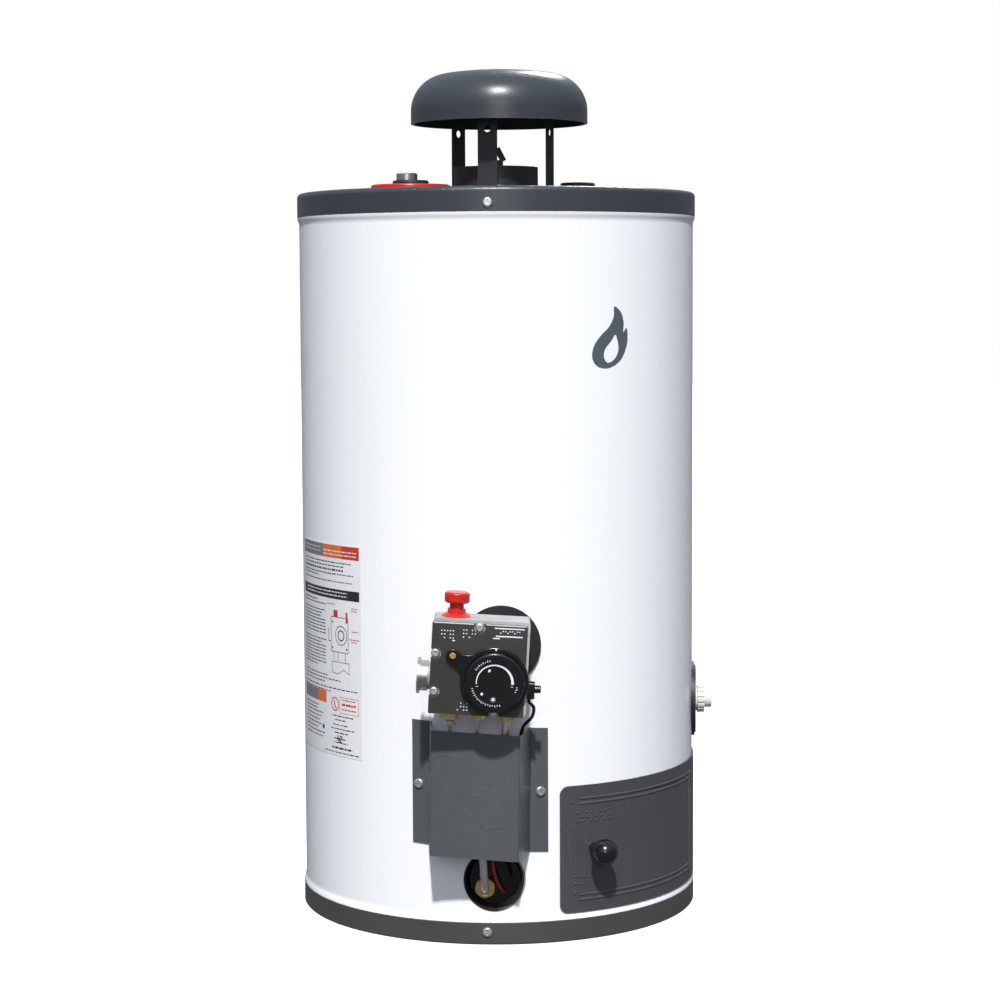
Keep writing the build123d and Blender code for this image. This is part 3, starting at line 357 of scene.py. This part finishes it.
def valve_front(depth):
    """Maps the leaning valve's (across, up, forward) mm to the room, from the face at y = depth."""
    def place(u, v, w):
        x = SHANK[0] + u * math.cos(LEAN) + v * math.sin(LEAN)
        z = SHANK[1] - u * math.sin(LEAN) + v * math.cos(LEAN)
        return Vector((x * MM, (depth - w) * MM, z * MM))
    return place


def cover_front(u, v, w):
    """Maps (across, height, forward) mm to the cover's front face."""
    a, r = math.radians(COVER_AZ), COVER_FRONT + w
    x = r * math.sin(a) + u * math.cos(a)
    y = -r * math.cos(a) + u * math.sin(a)
    return Vector((x * MM, y * MM, v * MM))


def rectangle(u0, v0, u1, v1):
    return [(u0, v0), (u1, v0), (u1, v1), (u0, v1)]


def stroke(points, width, stretch=1.0):
    """Outline pieces of a line of even width; stretch is v units per u unit."""
    pieces = []
    for (u0, v0), (u1, v1) in zip(points, points[1:]):
        du, dv = (u1 - u0) * stretch, v1 - v0
        size = math.hypot(du, dv) or 1
        nu, nv = -dv / size * width / 2 / stretch, du / size * width / 2
        pieces.append([(u0 - nu, v0 - nv), (u1 - nu, v1 - nv), (u1 + nu, v1 + nv),
            (u0 + nu, v0 + nv)])
    return pieces


def rounded(points, count=4):
    """Closed outline drawn smoothly through the points."""
    out, total = [], len(points)
    for i in range(total):
        p0, p1, p2, p3 = (points[(i + k - 1) % total] for k in range(4))
        for j in range(count):
            t = j / count
            out.append(tuple(
                0.5 * (2 * b + (c - a) * t + (2 * a - 5 * b + 4 * c - d) * t * t
                       + (3 * b - a - 3 * c + d) * t * t * t)
                for a, b, c, d in zip(p0, p1, p2, p3)))
    return out


def disc_outline(u, v, r, stretch=1.0, count=16):
    turns = [2 * math.pi * i / count for i in range(count)]
    return [(u + r * math.cos(t) / stretch, v + r * math.sin(t)) for t in turns]


def ring_piece(u, v, r_in, r_out, start, end, count=24, taper=None):
    """Quads along an arc; taper gives the thickness at each end as parts of the full one."""
    quads = []
    for i in range(count):
        corners = []
        for step, order in ((i, (r_in, r_out)), (i + 1, (r_out, r_in))):
            part = step / count
            t = math.radians(start + (end - start) * part)
            thick = 1.0 if taper is None else taper[0] + (taper[1] - taper[0]) * part
            middle, half = (r_in + r_out) / 2, (r_out - r_in) / 2 * thick
            for r in order:
                radius = middle + (half if r == r_out else -half)
                corners.append((u + radius * math.cos(t), v + radius * math.sin(t)))
        quads.append(corners)
    return quads


def applied(name, outlines, place, low, high, material, body, cut=None):
    """One object of thin closed solids, each an outline raised from low to high above a surface."""
    whole = bmesh.new()
    for outline in outlines:
        bm = bmesh.new()
        bm.faces.new([bm.verts.new((u, v, 0)) for u, v in outline])
        if cut:
            bmesh.ops.triangulate(bm, faces=bm.faces[:])
            lowest = min(u for u, _ in outline)
            highest = max(u for u, _ in outline)
            at = math.floor(lowest / cut + 1) * cut
            while at < highest:
                bmesh.ops.bisect_plane(
                    bm, geom=bm.verts[:] + bm.edges[:] + bm.faces[:], dist=1e-5,
                    plane_co=(at, 0, 0), plane_no=(1, 0, 0))
                at += cut
        grown = bmesh.ops.extrude_face_region(bm, geom=bm.faces[:])
        raised = {item for item in grown["geom"] if isinstance(item, bmesh.types.BMVert)}
        for vert in bm.verts:
            vert.co = place(vert.co.x, vert.co.y, high if vert in raised else low)
        bmesh.ops.recalc_face_normals(bm, faces=bm.faces[:])
        part = bpy.data.meshes.new("part")
        bm.to_mesh(part)
        bm.free()
        whole.from_mesh(part)
        bpy.data.meshes.remove(part)
    mesh = bpy.data.meshes.new(name)
    whole.to_mesh(mesh)
    whole.free()
    return add_piece(name, mesh, material, body)


def add_piece(name, mesh, material, body, smooth=False):
    mesh.materials.append(material)
    piece = bpy.data.objects.new(name, mesh)
    bpy.context.scene.collection.objects.link(piece)
    if smooth:
        for polygon in mesh.polygons:
            polygon.use_smooth = True
    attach(piece, body)
    return piece


def bumps(name, spots, place, r, rise, material, body, stretch=1.0):
    """Small pressed domes on a surface."""
    bm = bmesh.new()
    around, rings = 12, 4
    for u, v in spots:
        rows = []
        for j in range(rings):
            tilt = math.pi / 2 * j / rings
            rr, w = r * math.cos(tilt), rise * math.sin(tilt)
            rows.append([
                bm.verts.new(place(
                    u + rr * math.cos(2 * math.pi * i / around) / stretch,
                    v + rr * math.sin(2 * math.pi * i / around), w - 0.05))
                for i in range(around)])
        top = bm.verts.new(place(u, v, rise - 0.05))
        bm.faces.new(list(reversed(rows[0])))
        for a, b in zip(rows, rows[1:]):
            for i in range(around):
                k = (i + 1) % around
                bm.faces.new((a[i], a[k], b[k], b[i]))
        for i in range(around):
            bm.faces.new((rows[-1][i], rows[-1][(i + 1) % around], top))
    bmesh.ops.recalc_face_normals(bm, faces=bm.faces[:])
    mesh = bpy.data.meshes.new(name)
    bm.to_mesh(mesh)
    bm.free()
    return add_piece(name, mesh, material, body, smooth=True)


# ------------------------------------------------------------------ emblem on the jacket
def make_emblem():
    """Plain flame, the usual sign of a gas appliance."""
    on_jacket = drum(JACKET_R)

    def slanted(points, u0, v0, scale=1.0):
        return [(u0 + (x + 0.28 * y) * scale / MM_PER_DEGREE, v0 + y * scale) for x, y in points]

    outer = [
        (14, 0), (4, 3), (-3, 11), (-4, 22), (1, 32), (8, 40), (11, 50), (9, 60),
        (19, 54), (25, 44), (27, 35), (30, 39), (34, 30), (35, 20), (32, 9), (24, 2)]
    heart = [(16, 4), (10, 9), (9, 17), (14, 25), (17, 31), (22, 24), (25, 16), (23, 8)]
    applied("emblem_flame", [slanted(rounded(outer), 27.0, 560)], on_jacket, -0.02, 0.10,
        ink_slate, "heater", cut=1.5)
    applied("emblem_heart", [slanted(rounded(heart), 27.3, 561.5)], on_jacket, 0.06, 0.16,
        white_enamel, "heater", cut=1.5)


# ------------------------------------------------------------------ printing on the label
def make_label_print():
    """Bands, lines of dashes in place of text, and a plain line drawing of a valve."""
    radius = max(math.hypot(v.co.x, v.co.y) for v in nodes["rating_label"].data.vertices)
    on_label = drum(radius)
    rng = random.Random(7)
    left, right, top, bottom = -76.4, -42.2, 384.0, 173.0

    def az(s):
        return left + (right - left) * s

    def z(y):
        """Height from the distance in mm below the label's top."""
        return top - y

    def words(s0, s1, y, height=1.1, gap=0.4):
        """Dashes of uneven length that stand for one line of text."""
        bars, at, end = [], az(s0), az(s1)
        while at < end:
            length = rng.uniform(0.5, 2.2)
            bars.append(rectangle(at, z(y + height), min(at + length, end), z(y)))
            at += length + gap
        return bars

    black, grey, red, orange, white = [], [], [], [], []
    grey.append(rectangle(az(0.0), z(13), az(0.5), z(0)))
    orange.append(rectangle(az(0.5), z(13), az(0.78), z(0)))
    red.append(rectangle(az(0.78), z(13), az(1.0), z(0)))
    for y in (5.5, 9.0):
        white += words(0.5, 0.97, y)
        white += words(0.05, 0.44, y - 1.5, 0.7)
    for y, s1, height in ((17, 0.9, 1.1), (20.5, 0.82, 1.1), (24, 0.8, 1.9), (28.5, 0.93, 1.1),
            (31.5, 0.4, 1.1),
                          (36, 0.92, 1.1)):
        black += words(0.03, s1, y, height)
    black.append(rectangle(az(0.0), z(54), az(1.0), z(44)))
    for y in (46.5, 50):
        white += words(0.1, 0.85, y)
    y = 57.0
    while y < 126:
        if rng.random() < 0.92:
            black += words(0.02, 0.53 if rng.random() < 0.7 else rng.uniform(0.3, 0.5), y)
        y += 3.3
    for y, s1 in ((132, 0.55), (135.5, 0.75), (139, 0.5), (144, 0.98), (147.5, 0.6)):
        black += words(0.03, s1, y)
    grey.append(rectangle(az(0.0), z(161), az(0.36), z(149)))
    orange.append(rectangle(az(0.36), z(161), az(0.53), z(149)))
    for y in (165, 168.5, 172, 176, 180, 184, 188, 192, 196):
        black += words(0.05, rng.uniform(0.35, 0.5), y)
    for y in (171, 175, 180, 184, 188, 194, 198):
        indent = rng.uniform(0.58, 0.68)
        black += words(indent, 1.5 - indent + rng.uniform(-0.04, 0.04), y)
    black += words(0.62, 0.9, 203, 1.9) + words(0.5, 0.98, 208)
    for row in range(4):
        for column in range(4):
            if (row * 3 + column * 5) % 4 != 1:
                a = az(0.70) + column * 0.62
                black.append(rectangle(a, z(193 + row * 2.0), a + 0.5, z(191.2 + row * 2.0)))

    # a valve in thin lines, with callouts
    lines = []
    box_left, box_right = az(0.62), az(0.86)
    lines += stroke([(box_left, z(72)), (box_right, z(72)), (box_right, z(107)),
        (box_left, z(107)),
                     (box_left, z(72))], 0.7, MM_PER_DEGREE)
    ring = disc_outline(az(0.765), z(90), 9.5, MM_PER_DEGREE, 20)
    lines += stroke(ring + ring[:1], 0.8, MM_PER_DEGREE)
    ring = disc_outline(az(0.765), z(90), 5.0, MM_PER_DEGREE, 16)
    lines += stroke(ring + ring[:1], 1.3, MM_PER_DEGREE)
    for s in (0.66, 0.72, 0.82):
        lines += stroke([(az(s), z(107)), (az(s), z(116))], 0.7, MM_PER_DEGREE)
    lines += stroke([(az(0.63), z(128)), (az(0.63), z(117)), (az(0.87), z(117)),
        (az(0.87), z(128)),
                     (az(0.80), z(124)), (az(0.72), z(129)),
                     (az(0.63), z(128))], 0.6, MM_PER_DEGREE)
    lines += stroke([(az(0.58), z(84)), (az(0.58), z(97)), (az(0.62), z(97))], 0.7, MM_PER_DEGREE)
    for s, y in ((0.64, 77), (0.84, 76), (0.64, 103), (0.84, 103)):
        lines += [disc_outline(az(s), z(y), 1.2, MM_PER_DEGREE, 8)]
    black += lines
    red.append(rectangle(az(0.66), z(72), az(0.72), z(65)))
    red.append(rectangle(az(0.83), z(76), az(0.855), z(66)))
    for s0, s1, y in ((0.56, 0.68, 59), (0.90, 0.98, 61), (0.90, 0.97, 63.5), (0.91, 0.99, 84),
            (0.88, 1.0, 92),
                      (0.90, 0.98, 94.5)):
        red += words(s0, s1, y, 0.9, 0.25)
    ring = disc_outline(az(0.67), z(160), 6.5, MM_PER_DEGREE, 20)
    red += stroke(ring + ring[:1], 1.2, MM_PER_DEGREE)
    red += stroke([(az(0.655), z(156)), (az(0.665), z(162)), (az(0.69), z(164))], 1.6,
        MM_PER_DEGREE)
    red += stroke([(az(0.74), z(152)), (az(0.98), z(152)), (az(0.98), z(168)), (az(0.74), z(168)),
                   (az(0.74), z(152))], 0.5, MM_PER_DEGREE)
    for y, height in ((154, 1.0), (158, 2.2), (163.5, 1.2)):
        red += words(0.77, 0.95, y, height, 0.25)
    for name, outlines, ink, low, high in (
            ("label_black", black, ink_black, -0.02, 0.05),
            ("label_grey", grey, ink_grey, -0.02, 0.04),
            ("label_red", red, ink_red, -0.02, 0.05),
            ("label_orange", orange, ink_orange, -0.02, 0.04),
            ("label_blue", [disc_outline(az(0.47), z(186), 2.4, MM_PER_DEGREE)], ink_blue, -0.02,
            0.05),
            ("label_white", white, ink_white, 0.0, 0.08)):
        applied(name, outlines, on_label, low, high, ink, "heater", cut=2.0)


# ------------------------------------------------------------------ marks on the valve
def make_valve_marks():
    """Generic dots, bars and dial marks, and a painted highlight along the top edge of the face
    plate.
    """
    rng = random.Random(3)
    face = valve_front(FACE_Y)
    dots = []
    for u0, w0 in ((-56.5, 23.6), (-36.0, 25.0)):
        for row in range(3):
            for column in range(5):
                if rng.random() < 0.68:
                    dots.append((u0 + column * 2.7, w0 - row * 3.4))
    dots += [(-1.5 + 2.2 * i, 24.3 + (1.2 if i % 3 else -0.4)) for i in range(9)]
    for row in range(3):
        for column in range(5):
            if rng.random() < 0.6:
                dots.append((-41.0 + column * 2.9, -44.2 - row * 3.2))
    bumps("face_dots", dots, face, 0.74, 0.36, silver_ink_and_highlight, "heater")
    bars = [rectangle(-7.4, 27.7, 20.7, 28.8), rectangle(-5.8, 20.2, 19.2, 21.4),
        rectangle(-8.4, 18.1, -2.2, 19.2),
            rectangle(-46.2, 14.0, -43.8, 15.2)]
    applied("face_bars", bars, face, -0.02, 0.10, ink_white, "heater")
    # painted highlight: a thin silver strip along the face plate's top edge, broken at the top
    # screw's notch
    applied("face_edge_highlight",
        [rectangle(-64.5, 30.5, -26.9, 31.5), rectangle(-15.5, 30.5, 22.4, 31.5)], face, -0.02,
        0.08, silver_ink_and_highlight, "heater")
    u, v = DIAL
    bezel = valve_front(BEZEL_Y)
    applied("bezel_pointer", [[(u - 1.5, v + 31.6), (u + 1.5, v + 31.6), (u, v + 28.9)]], bezel,
        -0.02, 0.1, ink_white, "heater")

    def polar(r, degrees):
        t = math.radians(degrees)
        return u + r * math.cos(t), v + r * math.sin(t)

    floor_marks = ring_piece(u, v, 15.7, 18.1, 186, -2, 40, taper=(0.32, 1.0))
    for degrees, side in ((190, -1), (-6, 1)):
        a, b, c = polar(14.9, degrees + 3 * -side), polar(18.2, degrees + 3 * -side), polar(16.7,
            degrees - 5 * side)
        floor_marks.append([a, b, c] if side > 0 else [c, b, a])
    for degrees in (112, 118):
        x, y = polar(12.4, degrees)
        floor_marks.append(rectangle(x - 0.5, y - 1.2, x + 0.5, y + 1.2))
    floor_marks.append(disc_outline(*polar(15.6, 224), 1.3, 1.0, 12))
    floor_marks.append(disc_outline(*polar(15.6, 268), 1.5, 1.0, 12))
    for i in range(8):
        x, y = polar(15.6, 268)
        t = math.radians(45 * i + 22)
        floor_marks += stroke([(x + 2.1 * math.cos(t), y + 2.1 * math.sin(t)),
                               (x + 2.8 * math.cos(t), y + 2.8 * math.sin(t))], 0.35)
    applied("dial_marks", floor_marks, valve_front(DIAL_FLOOR_Y), -0.02, 0.08, ink_white,
        "dial")
    rim_marks = []
    for degrees in (list(range(104, 150, 6)) + list(range(196, 292, 6)) + [-8, -14, -20]):
        inner, outer = polar(20.6, degrees), polar(20.6 + (1.9 if degrees % 4 else 1.3), degrees)
        rim_marks += stroke([inner, outer], 0.65)
    applied("dial_ticks", rim_marks, valve_front(DIAL_RIM_Y), -0.02, 0.08, ink_white,
        "dial")


# ------------------------------------------------------------------ pressed shapes
def make_pressings():
    """Shallow ridges pressed into the cover, and dots and an arrow pressed into the door."""
    frame_points = [(-34.5, 195), (-11, 193), (17.5, 167), (26.5, 125), (6.8, 126), (-33, 168),
        (-34.5, 195)]
    ridges = stroke(frame_points, 1.1)
    for (u0, v0), (u1, v1) in (((0, 162), (10, 163)), ((-3, 156), (7, 157)),
            ((-6, 150), (-1, 147)),
                               ((12, 137), (16, 138)), ((-16, 160), (-12, 160))):
        ridges += stroke([(u0, v0), (u1, v1)], 1.6)
    applied("cover_ridges", ridges, cover_front, -0.1, 0.28, cover_enamel,
        "heater")
    on_door = drum(DOOR_R)
    spots = []
    for row, height in enumerate((127.0, 122.8, 118.6)):
        for column in range(8):
            if (row + column) % 3 != 1:
                spots.append((22.0 + column * 1.45, height))
    for row, height in enumerate((64.0, 57.0, 49.0)):
        spots += [(21.4 + column * 1.3, height - column * 0.3) for column in range(4 - row)]
    spots += [(34.0, 63.0), (20.6, 137.5), (21.2, 47.0)]
    bumps("door_dots", spots, on_door, 1.15, 1.1, door_enamel, "door",
        MM_PER_DEGREE)
    arc = [(20.4 - 0.9 * math.sin(math.pi * i / 12), 72 + 42 * i / 12) for i in range(13)]
    arrow = stroke(arc, 1.2, MM_PER_DEGREE) + [[(19.6, 113), (21.2, 113), (20.6, 117.5)]]
    applied("door_arrow", arrow, on_door, -0.1, 0.4, door_enamel, "door")


# ------------------------------------------------------------------ turned pieces
def turned_piece(name, profile, at, turn, material, body, count=48):
    """Closed solid of revolution; profile is (radius, height) in mm round local Z."""
    bm = bmesh.new()
    rows = []
    for r, h in profile:
        rows.append([
            bm.verts.new((r * MM * math.cos(2 * math.pi * i / count),
                r * MM * math.sin(2 * math.pi * i / count), h * MM))
            for i in range(count)])
    for a, b in zip(rows, rows[1:] + rows[:1]):
        for i in range(count):
            k = (i + 1) % count
            bm.faces.new((a[i], a[k], b[k], b[i]))
    bmesh.ops.recalc_face_normals(bm, faces=bm.faces[:])
    bmesh.ops.transform(bm, matrix=Matrix.Translation([c * MM for c in at]) @ turn.to_4x4(),
        verts=bm.verts[:])
    mesh = bpy.data.meshes.new(name)
    bm.to_mesh(mesh)
    bm.free()
    return add_piece(name, mesh, material, body)


def make_turned():
    facing = Matrix.Rotation(math.radians(90), 3, "X")
    rings = [(5.3, 0.0), (5.3, 1.6)]
    for r in (11.0, 14.5, 18.0, 21.5):
        rings += [(r - 0.9, 1.6), (r - 0.5, 2.5), (r + 0.5, 2.5), (r + 0.9, 1.6)]
    rings += [(24.6, 1.6), (25.0, 0.0)]
    turned_piece("air_shutter", rings, (-3.4, -183.2, 60.6), facing, black_plastic,
        "heater")
    upright = Matrix.Identity(3)
    turned_piece("probe_washer",
        [(2.4, 0), (5.2, 0), (5.2, 1.1), (4.4, 1.3), (4.4, 2.4), (5.2, 2.6), (5.2, 3.6),
        (2.4, 3.6)], (-46.0, -241.5, 224.4), upright, zinc, "heater", 32)


make_emblem()
make_label_print()
make_valve_marks()
make_pressings()
make_turned()


# ------------------------------------------------------------------ floor and light
def quad_mesh(name, corners):
    mesh = bpy.data.meshes.new(name)
    mesh.from_pydata(corners, [], [tuple(range(len(corners)))])
    return mesh


def make_floor():
    """Wide pale floor, bright by itself so that only the shadows tint it."""
    n = Nodes("floor_paint")
    clouds = n.spread(n.noise(3, 4), 0.3, 0.7)
    n.link(n.blend(clouds, (0.50, 0.50, 0.50), (0.52, 0.52, 0.52)), n.shader.inputs["Base Color"])
    n.link(n.blend(clouds, (0.99, 0.99, 1.0), (1.0, 1.0, 1.0)), n.shader.inputs["Emission Color"])
    n.shader.inputs["Emission Strength"].default_value = 0.62
    n.shader.inputs["Roughness"].default_value = 0.9
    n.shader.inputs["Specular IOR Level"].default_value = 0.0
    reach = 14.0
    corners = [(-reach, -reach, 0), (reach, -reach, 0), (reach, reach, 0), (-reach, reach, 0)]
    floor = bpy.data.objects.new("floor", quad_mesh("floor", corners))
    floor.data.materials.append(n.material)
    floor.visible_diffuse = False
    floor.visible_glossy = False
    bpy.context.scene.collection.objects.link(floor)


def add_light(name, kind, azimuth, elevation, strength, colour, distance=4.0, aim=(0, 0, 0.4),
        **settings):
    """Light at an azimuth from the front (positive to the right), aimed at a point."""
    data = bpy.data.lights.new(name, kind)
    data.energy = strength
    data.color = colour
    for key, value in settings.items():
        setattr(data, key, value)
    light = bpy.data.objects.new(name, data)
    a, e = math.radians(azimuth), math.radians(elevation)
    away = Vector((math.sin(a) * math.cos(e), -math.cos(a) * math.cos(e), math.sin(e)))
    light.location = Vector(aim) + away * distance
    light.rotation_mode = "QUATERNION"
    light.rotation_quaternion = (-away).to_track_quat("-Z", "Y")
    bpy.context.scene.collection.objects.link(light)


def make_world():
    """White to the eye; as light, a sky that is dim at the sides and bluish overhead."""
    world = bpy.data.worlds.new("studio")
    bpy.context.scene.world = world
    world.use_nodes = True
    tree = world.node_tree
    tree.nodes.clear()
    output = tree.nodes.new("ShaderNodeOutputWorld")
    mix = tree.nodes.new("ShaderNodeMixShader")
    light = tree.nodes.new("ShaderNodeBackground")
    seen = tree.nodes.new("ShaderNodeBackground")
    path = tree.nodes.new("ShaderNodeLightPath")
    place = tree.nodes.new("ShaderNodeTexCoord")
    split = tree.nodes.new("ShaderNodeSeparateXYZ")
    ramp = tree.nodes.new("ShaderNodeValToRGB")
    tree.links.new(place.outputs["Generated"], split.inputs[0])
    tree.links.new(split.outputs["Z"], ramp.inputs[0])
    ramp.color_ramp.elements[0].position = 0.0
    ramp.color_ramp.elements[0].color = (0.19, 0.20, 0.22, 1)
    ramp.color_ramp.elements[1].position = 0.75
    ramp.color_ramp.elements[1].color = (0.50, 0.57, 0.68, 1)
    tree.links.new(ramp.outputs[0], light.inputs["Color"])
    light.inputs["Strength"].default_value = 0.9
    seen.inputs["Color"].default_value = (1, 1, 1, 1)
    seen.inputs["Strength"].default_value = 1.0
    tree.links.new(path.outputs["Is Camera Ray"], mix.inputs[0])
    tree.links.new(light.outputs[0], mix.inputs[1])
    tree.links.new(seen.outputs[0], mix.inputs[2])
    tree.links.new(mix.outputs[0], output.inputs[0])


make_floor()
make_world()
add_light("key", "SUN", -1, 50, 4.2, (1.0, 0.98, 0.95), angle=math.radians(2.5))
add_light("fill", "AREA", 0, 16, 26, (0.95, 0.97, 1.0), distance=4.5, shape="DISK", size=1.8)
add_light("rim", "SUN", 165, 38, 1.3, (0.96, 0.98, 1.0), angle=math.radians(12))
bpy.context.scene.view_settings.view_transform = "Standard"
